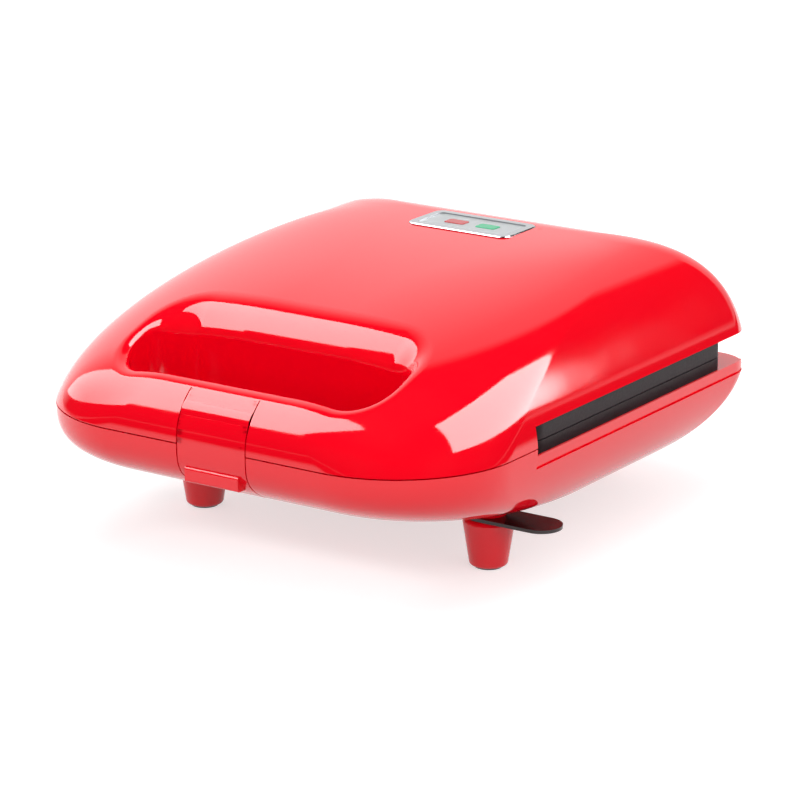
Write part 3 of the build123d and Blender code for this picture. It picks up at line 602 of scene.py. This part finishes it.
def bar_pockets(z0, z1):
    """Two long pockets in the bar's parting face, one on each side of the latch."""
    half = (BAR_POCKET_LENGTH / 2, BAR_POCKET_WIDTH / 2)
    outlines = [round_rectangle((side * BAR_POCKET_X, BAR_Y), half, half[1] - SLIVER) for side in (-1, 1)]
    return [prism("pocket", outline, "z", z0, z1) for outline in outlines]


def lug(x, width, root_z, tip_z, rear):
    """Hinge lug seen from the side: a round end on the axis and a root in the shell."""
    root = [
        (HINGE_Y - HINGE_RADIUS, root_z),
        (rear, root_z),
        (rear, tip_z),
        (HINGE_Y + HINGE_RADIUS, tip_z),
    ]
    start = 0
    if root_z > HINGE_Z:
        root.reverse()
        start = 180
    outline = arc((HINGE_Y, HINGE_Z), HINGE_RADIUS, start, start + 180, steps=24) + root
    return prism("lug", outline, "x", x - width / 2, x + width / 2)


def pin_bore(x, width):
    reach = width / 2 + JUST_PAST
    return rod("x", (HINGE_Y, HINGE_Z), PIN_RADIUS, x - reach, x + reach)


def make_lid():
    low = (-NET_X, -NET_Y, LID_BOTTOM - PARTING_SPARE - NET_SPARE)
    high = (NET_X, NET_Y, LID_TOP + NET_SPARE)
    lid = mesh_object("lid_cover_shell", *shape_net(lid_shape, low, high, GRID_STEP))
    low = (-NET_X, -NET_Y, LID_BOTTOM - 2 * PARTING_SPARE - NET_SPARE)
    room = mesh_object("room", *shape_net(lid_inside, low, high, COARSE_STEP))
    bezel = round_rectangle((0, BEZEL_Y), BEZEL_HALF, BEZEL_CORNER)
    cutters = [
        room,
        block(-FAR_X, FAR_X, -FAR_Y, FAR_Y, LID_BOTTOM - PAST, LID_BOTTOM),
        block(-FAR_X, FAR_X, GAP_FRONT_Y, FAR_Y, LID_BOTTOM - PAST, LID_EDGE),
        prism("pocket", bezel, "z", BEZEL_BOTTOM, LID_TOP + PAST),
    ]
    pockets = bar_pockets(LID_BOTTOM - JUST_PAST, LID_BOTTOM + BAR_POCKET_DEPTH)
    combine(lid, cutters + lid_reliefs() + pockets)
    places = [side * HINGE_X for side in (-1, 1)]
    combine(lid, [lug(x, BARREL, BARREL_ROOT, BARREL_TIP, BARREL_REAR) for x in places], "UNION")
    return polish(smooth(combine(lid, [pin_bore(x, BARREL) for x in places])), lid_shape)


def make_base():
    low = (-NET_X, -NET_Y, BASE_LOW - NET_SPARE)
    high = (NET_X, NET_Y, BASE_TOP + PARTING_SPARE + NET_SPARE)
    base = mesh_object("base_shell_body", *shape_net(base_shape, low, high, GRID_STEP))
    high = (NET_X, NET_Y, BASE_TOP + 2 * PARTING_SPARE + NET_SPARE)
    room = mesh_object("room", *shape_net(base_inside, low, high, COARSE_STEP))
    above = BASE_TOP + PAST
    groove = combine(
        block(-FAR_X, FAR_X, GAP_FRONT_Y, FAR_Y, SHELL_EDGE, above),
        [prism("lip", round_plan_outline(LIP_INSET), "z", SHELL_EDGE - JUST_PAST, above + PAST)],
    )
    cutters = [
        room,
        block(-FAR_X, FAR_X, -FAR_Y, FAR_Y, BASE_TOP, above),
        block(-FAR_X, FAR_X, GAP_FRONT_Y, FAR_Y, LEDGE_FOOT, above),
        groove,
        prism("cut", base_relief_outline(), "x", -LATCH_SLOT_HALF, LATCH_SLOT_HALF),
    ]
    combine(base, cutters + bar_pockets(BASE_TOP - BAR_POCKET_DEPTH, BASE_TOP + JUST_PAST))
    ears = [side * HINGE_X + end * EAR_X for side in (-1, 1) for end in (-1, 1)]
    added = [lug(x, EAR, EAR_ROOT, SHELL_EDGE, EAR_REAR) for x in ears]
    for x, y, top in FEET:
        added += [rod("z", (side * x, y), NECK_RADIUS, NECK_FOOT, top) for side in (-1, 1)]
    combine(base, added, "UNION")
    bores = [pin_bore(x, EAR) for x in ears]
    bores.append(rod("y", (0, INLET_Z), INLET_RADIUS, *INLET_ENDS))
    return polish(smooth(combine(base, bores)), base_shape)


def round_plan_outline(inset):
    """The body's outline at the parting plane, drawn inwards."""
    points = []
    signs = ((1, 1), (-1, 1), (-1, -1), (1, -1))
    for step, (sx, sy) in enumerate(signs):
        radius = REAR_CORNER if sy > 0 else FRONT_CORNER
        reach = radius - inset
        middle = (sx * (BODY_WIDTH / 2 - radius), sy * (BODY_LENGTH / 2 - radius))
        points += arc(middle, reach, 90 * step, 90 * step + 90, steps=40)
    return points


def edge_of(shape, center, angles):
    """Where rays in the middle plane, from a center in y and z, leave a shape."""
    turn = np.radians(angles)
    near = np.zeros(len(turn))
    far = np.full(len(turn), LATCH_REACH)
    for _ in range(EDGE_HALVINGS):
        middle = (near + far) / 2
        y = center[0] + middle * np.cos(turn)
        z = center[1] + middle * np.sin(turn)
        inside = shape(np.zeros(len(turn)), y, z) < 0
        near = np.where(inside, middle, near)
        far = np.where(inside, far, middle)
    return [(center[0] + r * cos(a), center[1] + r * sin(a)) for r, a in zip(near, turn)]


def front_edge(shape, levels):
    """Front of a shape in the middle plane, at given heights."""
    return [edge_of(shape, (LATCH_Y, z), [180.0])[0] for z in levels]


def latch_top():
    """The lid's own section over the bar and down its front."""
    over = edge_of(lid_shape, (LATCH_Y, LATCH_Z), np.linspace(LATCH_BACK, 180, num=46))
    levels = np.linspace(LATCH_Z - OFF_AXIS, LID_BOTTOM + EDGE_GAP, num=9)
    return over + front_edge(lid_shape, levels)


def latch_outline():
    """Band flush with the two shells, and as thick as its slots allow."""
    under = edge_of(base_shape, (HEEL_Y, HEEL_Z), np.linspace(180, 270, num=31))
    levels = np.linspace(BASE_TOP - EDGE_GAP, HEEL_Z + OFF_AXIS, num=4)
    front = front_edge(base_shape, levels)
    inner_under = arc((HEEL_Y, HEEL_Z), HEEL_RADIUS - LATCH_BAND, 270, 180, steps=30)
    inner_over = arc((LATCH_Y, LATCH_Z), LATCH_INNER, 180, LATCH_BACK, steps=40)
    return latch_top() + front + under + inner_under + inner_over


def cheek_outline():
    """Cheek at each end of the band, which carries the pin."""
    return latch_top() + [(LATCH_Y, LID_BOTTOM + EDGE_GAP)]


def lip_outline():
    """Finger lip on the latch's foot, with round front corners."""
    front = FRONT_Y + LIP_ROUND
    back = FRONT_Y + LIP_DEPTH
    top = arc((front, LIP_TOP - LIP_ROUND), LIP_ROUND, 90, 180, steps=8)
    foot = arc((front, LIP_FOOT + LIP_ROUND), LIP_ROUND, 180, 270, steps=8)
    return top + foot + [(back, LIP_FOOT), (back, LIP_TOP)]


def make_latch():
    latch = prism("latch_band", latch_outline(), "x", -LATCH_HALF, LATCH_HALF)
    lip = prism("lip", lip_outline(), "x", -LIP_HALF, LIP_HALF)
    reach = LIP_HALF + JUST_PAST
    inside = rod("x", (HEEL_Y, HEEL_Z), HEEL_RADIUS - LATCH_BAND, -reach, reach)
    cheeks = [
        prism("cheek", cheek_outline(), "x", start, start + CHEEK - SLIVER)
        for start in (-LATCH_HALF + SLIVER, LATCH_HALF - CHEEK)
    ]
    combine(latch, [combine(lip, [inside])] + cheeks, "UNION")
    reach = LATCH_HALF + JUST_PAST
    bore = rod("x", (LATCH_Y, LATCH_Z), LATCH_BORE, -reach, reach)
    return smooth(combine(latch, [bore]), angle=25)


# Materials


def new_material(name):
    material = bpy.data.materials.new(name)
    material.use_nodes = True
    shader = material.node_tree.nodes["Principled BSDF"]
    return material, material.node_tree, shader


def noise(tree, scale, detail=3.0, roughness=0.5):
    coordinates = tree.nodes.new("ShaderNodeTexCoord")
    texture = tree.nodes.new("ShaderNodeTexNoise")
    texture.inputs["Scale"].default_value = scale
    texture.inputs["Detail"].default_value = detail
    texture.inputs["Roughness"].default_value = roughness
    tree.links.new(coordinates.outputs["Object"], texture.inputs["Vector"])
    return texture.outputs["Fac"]


def spread(tree, source, low, high, start=0.3, end=0.7):
    """Maps a texture value to a range."""
    node = tree.nodes.new("ShaderNodeMapRange")
    node.inputs["From Min"].default_value = start
    node.inputs["From Max"].default_value = end
    node.inputs["To Min"].default_value = low
    node.inputs["To Max"].default_value = high
    tree.links.new(source, node.inputs["Value"])
    return node.outputs["Result"]


def two_colours(tree, source, first, second):
    node = tree.nodes.new("ShaderNodeMix")
    node.data_type = "RGBA"
    node.inputs["A"].default_value = (*first, 1)
    node.inputs["B"].default_value = (*second, 1)
    tree.links.new(source, node.inputs["Factor"])
    return node.outputs["Result"]


def bump(tree, source, strength, distance):
    node = tree.nodes.new("ShaderNodeBump")
    node.inputs["Strength"].default_value = strength
    node.inputs["Distance"].default_value = distance
    tree.links.new(source, node.inputs["Height"])
    return node.outputs["Normal"]


def speckled(name, first, second, rough, metallic=0.0, grain=400.0, relief=0.1, depth=0.0002):
    """Material with a slow colour change, a roughness range and a fine grain."""
    material, tree, shader = new_material(name)
    slow = noise(tree, scale=18.0)
    tree.links.new(two_colours(tree, slow, first, second), shader.inputs["Base Color"])
    fine = noise(tree, grain, detail=6.0, roughness=0.6)
    tree.links.new(spread(tree, fine, *rough), shader.inputs["Roughness"])
    tree.links.new(bump(tree, fine, relief, depth), shader.inputs["Normal"])
    shader.inputs["Metallic"].default_value = metallic
    return material


def with_inputs(material, **values):
    """Sets inputs of a material's shader. An underscore in a name stands for a space."""
    shader = material.node_tree.nodes["Principled BSDF"]
    for name, value in values.items():
        shader.inputs[name.replace("_", " ")].default_value = value
    return material


def red_plastic():
    reds = ((0.80, 0.0, 0.008), (0.77, 0.0, 0.010))
    return with_inputs(speckled("red_plastic", *reds, (0.05, 0.08), grain=60.0, relief=0.02), IOR=1.5)


def plate_coating():
    darks = ((0.018, 0.012, 0.014), (0.012, 0.008, 0.009))
    material = speckled("plate_coating", *darks, (0.45, 0.6), grain=900.0, relief=0.25)
    return with_inputs(material, Specular_IOR_Level=0.25)


def lens_material(name, colour):
    return with_inputs(
        speckled(name, colour, [c * 0.8 for c in colour], (0.08, 0.14)),
        Transmission_Weight=0.15,
        Specular_IOR_Level=0.25,
        Emission_Color=(*colour, 1),
        Emission_Strength=0.08,
    )


def make_materials():
    rough_metal = ((0.2, 0.35), 1.0)
    plain = {
        "element_tube": ((0.3,) * 3, (0.2,) * 3, (0.3, 0.5), 1.0, 500.0),
        "reflector_sheet": ((0.75,) * 3, (0.7,) * 3, *rough_metal),
        "fastener_steel": ((0.6,) * 3, (0.5,) * 3, *rough_metal),
        "bezel_chrome": ((0.46, 0.47, 0.49), (0.42, 0.43, 0.45), (0.12, 0.2), 1.0),
        "face_grey": ((0.44, 0.46, 0.47), (0.38, 0.40, 0.41), (0.3, 0.4), 0.3, 1500.0),
        "board_green": ((0.02, 0.12, 0.04), (0.02, 0.1, 0.05), (0.3, 0.5)),
        "lamp_glass": ((0.8,) * 3, (0.7,) * 3, (0.05, 0.1)),
        "fuse_white": ((0.7, 0.69, 0.65), (0.6, 0.6, 0.57), (0.4, 0.6)),
        "block_white": ((0.75, 0.74, 0.7), (0.7, 0.69, 0.64), (0.4, 0.5)),
        "black_rubber": ((0.02,) * 3, (0.03,) * 3, (0.6, 0.8), 0.0, 900.0, 0.4),
        "black_plastic": ((0.012, 0.006, 0.006), (0.02, 0.01, 0.01), (0.12, 0.2), 0.0, 300.0, 0.03),
    }
    return {
        "red_plastic": red_plastic(),
        "plate_coating": plate_coating(),
        "lens_red": lens_material("lens_red", (0.5, 0.02, 0.025)),
        "lens_green": lens_material("lens_green", (0.0, 0.42, 0.18)),
        **{name: speckled(name, *values) for name, values in plain.items()},
    }


def paint(piece, material):
    piece.data.materials.clear()
    piece.data.materials.append(material)


def dress(materials):
    """Paints the CAD pieces, and puts the modelled shells and latch in place of theirs."""
    slots = {part["node"]: part["material_slot"] for part in frame["record"]["subparts"]}
    for name, node in frame["nodes"].items():
        material = materials[slots[name]]
        if node.material_slots:
            for place in node.material_slots:
                place.material = material
        else:
            node.data.materials.append(material)
    shells = (
        (make_lid(), "lid", "lid_cover"),
        (make_base(), "base", "base_shell"),
        (make_latch(), "latch", "latch"),
    )
    for piece, body, node in shells:
        paint(piece, materials["red_plastic"])
        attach(piece, body)
        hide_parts(node)


# Stage, lights and camera

AZIMUTH = 33.9
ELEVATION = 16.67
CAMERA_DISTANCE = 1.70605
CAMERA_TARGET = (0.03117, -0.03921, 0.06986)
FOCAL_LENGTH = 168.83
SENSOR = 36.0
LIGHT_CENTER = Vector((0.0, -0.08, 0.09))
BACKDROP_EDGE = (-0.76, 0.48, -0.43)
BACKDROP_SHOWN = (0.03, 0.11)
BACKDROP_BEHIND = (0.1, 0.45)
BACKDROP_LEFT = (-0.8, -0.3)
BACKDROP_LIGHT = (1.5, 0.8)
HORIZON = (-0.02, 0.02)
DARK_SKY = 0.04
WORLD_LIGHT = 1.0
OVERHEAD_LIGHT = 1.6
OVERHEAD_CORNERS = ((-0.9, -0.9, 1.5), (0.5, -0.9, 1.5), (0.5, 0.5, 1.5), (-0.9, 0.5, 1.5))
RIGHT_LIGHT = 1.3
RIGHT_CORNERS = ((1.5, -0.9, 0.2), (1.5, 0.7, 0.2), (1.5, 0.7, 1.3), (1.5, -0.9, 1.3))
FRONT_LIGHT = 1.0
FRONT_CORNERS = ((-0.9, -1.6, 0.2), (0.7, -1.6, 0.2), (0.7, -1.6, 1.2), (-0.9, -1.6, 1.2))
LEFT_BOX = (
    (-0.93, 0.36, 0.08),
    (-0.959, 0.28, 0.035),
    (-0.98, 0.01, 0.16),
    (-0.64, -0.69, 0.34),
    (-0.06, -0.23, 0.97),
    (-0.42, 0.2, 0.885),
    (-0.92, 0.33, 0.2),
)
LEFT_RADIANCE = 9.0
LEFT_FALL = (-0.95, -0.6)
LEFT_LEAST = 0.4
RIGHT_BOX = (
    (0.32, 0.05, 0.95),
    (0.77, -0.04, 0.64),
    (0.568, 0.823, 0.0),
    (0.545, 0.82, 0.174),
    (0.25, 0.56, 0.79),
)
RIGHT_RADIANCE = 12.0
PATCH_EDGE = (0.004, 0.008)
FLOOR_REACH = 4000.0
FLOOR_GREY = 0.5
FLOOR_LIFT = 0.62
FLOOR_LIFT_SPREAD = (0.15, 0.6)
FLOOR_END = (0.35, 0.45)
FLOOR_DARK = 0.05


def make_camera():
    data = bpy.data.cameras.new("camera")
    data.sensor_width = SENSOR
    data.lens = FOCAL_LENGTH
    data.clip_start = 0.05
    data.clip_end = 20
    camera = bpy.data.objects.new("camera", data)
    bpy.context.scene.collection.objects.link(camera)
    turn = radians(AZIMUTH)
    tilt = radians(ELEVATION)
    back = Vector((sin(turn) * cos(tilt), -cos(turn) * cos(tilt), sin(tilt)))
    camera.location = Vector(CAMERA_TARGET) + back * CAMERA_DISTANCE
    camera.rotation_euler = back.to_track_quat("Z", "Y").to_euler()
    bpy.context.scene.camera = camera


def softbox(name, corners, radiance):
    """Area light through four corners, given from LIGHT_CENTER. Reflections don't show it."""
    corners = [Vector(corner) for corner in corners]
    center = sum(corners, Vector()) / 4
    across = (corners[1] - corners[0] + corners[2] - corners[3]) / 2
    along = (corners[3] - corners[0] + corners[2] - corners[1]) / 2
    right = across.normalized()
    facing = right.cross(along).normalized()
    if facing.dot(center) < 0:
        facing = -facing
    up = facing.cross(right)
    data = bpy.data.lights.new(name, "AREA")
    data.shape = "RECTANGLE"
    data.size = across.length
    data.size_y = abs(along.dot(up))
    data.energy = radiance * pi * data.size * data.size_y
    light = bpy.data.objects.new(name, data)
    bpy.context.scene.collection.objects.link(light)
    light.matrix_world = Matrix.LocRotScale(
        center + LIGHT_CENTER, Matrix((right, up, facing)).transposed().to_quaternion(), None
    )
    light.visible_glossy = False
    light.visible_transmission = False
    light.visible_camera = False


def make_lights():
    """Three wide soft lights for the colour; the world holds what shows as reflections."""
    softbox("overhead_light", OVERHEAD_CORNERS, OVERHEAD_LIGHT)
    softbox("right_light", RIGHT_CORNERS, RIGHT_LIGHT)
    softbox("front_light", FRONT_CORNERS, FRONT_LIGHT)


def multiply(tree, first, second):
    return calculate(tree, "MULTIPLY", first, second)


def calculate(tree, operation, *values):
    node = tree.nodes.new("ShaderNodeMath")
    node.operation = operation
    for place, value in enumerate(values):
        if isinstance(value, (int, float)):
            node.inputs[place].default_value = value
        else:
            tree.links.new(value, node.inputs[place])
    return node.outputs[0]


def patch(tree, direction, corners, radiance):
    """Bright region of the sky between corners given as directions, with crisp edges."""
    middle = sum((Vector(corner) for corner in corners), Vector())
    inside = None
    for first, second in zip(corners, corners[1:] + corners[:1]):
        normal = Vector(first).cross(Vector(second)).normalized()
        edge = tree.nodes.new("ShaderNodeVectorMath")
        edge.operation = "DOT_PRODUCT"
        edge.inputs[1].default_value = normal if normal.dot(middle) > 0 else -normal
        tree.links.new(direction, edge.inputs[0])
        share = spread(tree, edge.outputs["Value"], 0.0, 1.0, *PATCH_EDGE)
        inside = calculate(tree, "MINIMUM", inside, share) if inside else share
    return multiply(tree, inside, radiance)


def make_world():
    """White to the camera. Reflections show a pale backdrop behind, two softboxes and a dark front."""
    world = bpy.data.worlds.new("studio")
    bpy.context.scene.world = world
    world.use_nodes = True
    tree = world.node_tree
    background = tree.nodes["Background"]
    background.inputs["Color"].default_value = (1, 1, 1, 1)
    path = tree.nodes.new("ShaderNodeLightPath")
    coordinates = tree.nodes.new("ShaderNodeTexCoord")
    direction = coordinates.outputs["Generated"]
    edge = tree.nodes.new("ShaderNodeVectorMath")
    edge.operation = "DOT_PRODUCT"
    edge.inputs[1].default_value = BACKDROP_EDGE
    tree.links.new(direction, edge.inputs[0])
    split = tree.nodes.new("ShaderNodeSeparateXYZ")
    tree.links.new(direction, split.inputs[0])
    shown = spread(tree, edge.outputs["Value"], 0.0, 1.0, *BACKDROP_SHOWN)
    behind = spread(tree, split.outputs["Y"], 0.0, 1.0, *BACKDROP_BEHIND)
    brighter = spread(tree, split.outputs["X"], *BACKDROP_LIGHT, *BACKDROP_LEFT)
    backdrop = multiply(tree, multiply(tree, shown, behind), brighter)
    below = spread(tree, split.outputs["Z"], 1.0, 0.0, *HORIZON)
    reflected = calculate(tree, "MAXIMUM", calculate(tree, "MAXIMUM", backdrop, below), DARK_SKY)
    fall = spread(tree, split.outputs["X"], LEFT_LEAST, 1.0, *LEFT_FALL)
    left = multiply(tree, patch(tree, direction, LEFT_BOX, LEFT_RADIANCE), fall)
    right = patch(tree, direction, RIGHT_BOX, RIGHT_RADIANCE)
    reflected = calculate(tree, "MAXIMUM", reflected, calculate(tree, "MAXIMUM", left, right))
    gloss = tree.nodes.new("ShaderNodeMix")
    gloss.inputs["A"].default_value = WORLD_LIGHT
    tree.links.new(path.outputs["Is Glossy Ray"], gloss.inputs["Factor"])
    tree.links.new(reflected, gloss.inputs["B"])
    seen = tree.nodes.new("ShaderNodeMix")
    seen.inputs["B"].default_value = 1.0
    tree.links.new(path.outputs["Is Camera Ray"], seen.inputs["Factor"])
    tree.links.new(gloss.outputs["Result"], seen.inputs["A"])
    tree.links.new(seen.outputs["Result"], background.inputs["Strength"])


def make_floor():
    """White floor that keeps the shadow near the object and is plain white further out.

    In reflections it is dark beyond FLOOR_END on the right and in front, as a table ends.
    """
    corners = rectangle(-FLOOR_REACH, FLOOR_REACH, -FLOOR_REACH, FLOOR_REACH)
    floor = mesh_object("floor", [(x, y, 0) for x, y in corners], [range(4)])
    material, tree, shader = new_material("floor_white")
    with_inputs(
        material, Base_Color=(FLOOR_GREY, FLOOR_GREY, FLOOR_GREY, 1), Roughness=0.9, Specular_IOR_Level=0.1
    )
    path = tree.nodes.new("ShaderNodeLightPath")
    seen = calculate(tree, "MAXIMUM", path.outputs["Is Camera Ray"], path.outputs["Is Glossy Ray"])
    seen = calculate(tree, "MAXIMUM", seen, path.outputs["Is Transmission Ray"])
    coordinates = tree.nodes.new("ShaderNodeTexCoord")
    length = tree.nodes.new("ShaderNodeVectorMath")
    length.operation = "LENGTH"
    tree.links.new(coordinates.outputs["Object"], length.inputs[0])
    split = tree.nodes.new("ShaderNodeSeparateXYZ")
    tree.links.new(coordinates.outputs["Object"], split.inputs[0])
    lift = spread(tree, length.outputs["Value"], FLOOR_LIFT, 1.0, *FLOOR_LIFT_SPREAD)
    glow = tree.nodes.new("ShaderNodeEmission")
    tree.links.new(multiply(tree, seen, lift), glow.inputs["Strength"])
    add = tree.nodes.new("ShaderNodeAddShader")
    tree.links.new(shader.outputs[0], add.inputs[0])
    tree.links.new(glow.outputs[0], add.inputs[1])
    right = spread(tree, split.outputs["X"], 0.0, 1.0, *FLOOR_END)
    ahead = spread(tree, split.outputs["Y"], 1.0, 0.0, -FLOOR_END[1], -FLOOR_END[0])
    beyond = calculate(tree, "MAXIMUM", right, ahead)
    dark = tree.nodes.new("ShaderNodeEmission")
    dark.inputs["Strength"].default_value = FLOOR_DARK
    mix = tree.nodes.new("ShaderNodeMixShader")
    tree.links.new(multiply(tree, path.outputs["Is Glossy Ray"], beyond), mix.inputs[0])
    tree.links.new(add.outputs[0], mix.inputs[1])
    tree.links.new(dark.outputs[0], mix.inputs[2])
    tree.links.new(mix.outputs[0], tree.nodes["Material Output"].inputs["Surface"])
    paint(floor, material)


make_camera()
make_lights()
make_world()
make_floor()
dress(make_materials())
bpy.context.scene.view_settings.view_transform = "Standard"
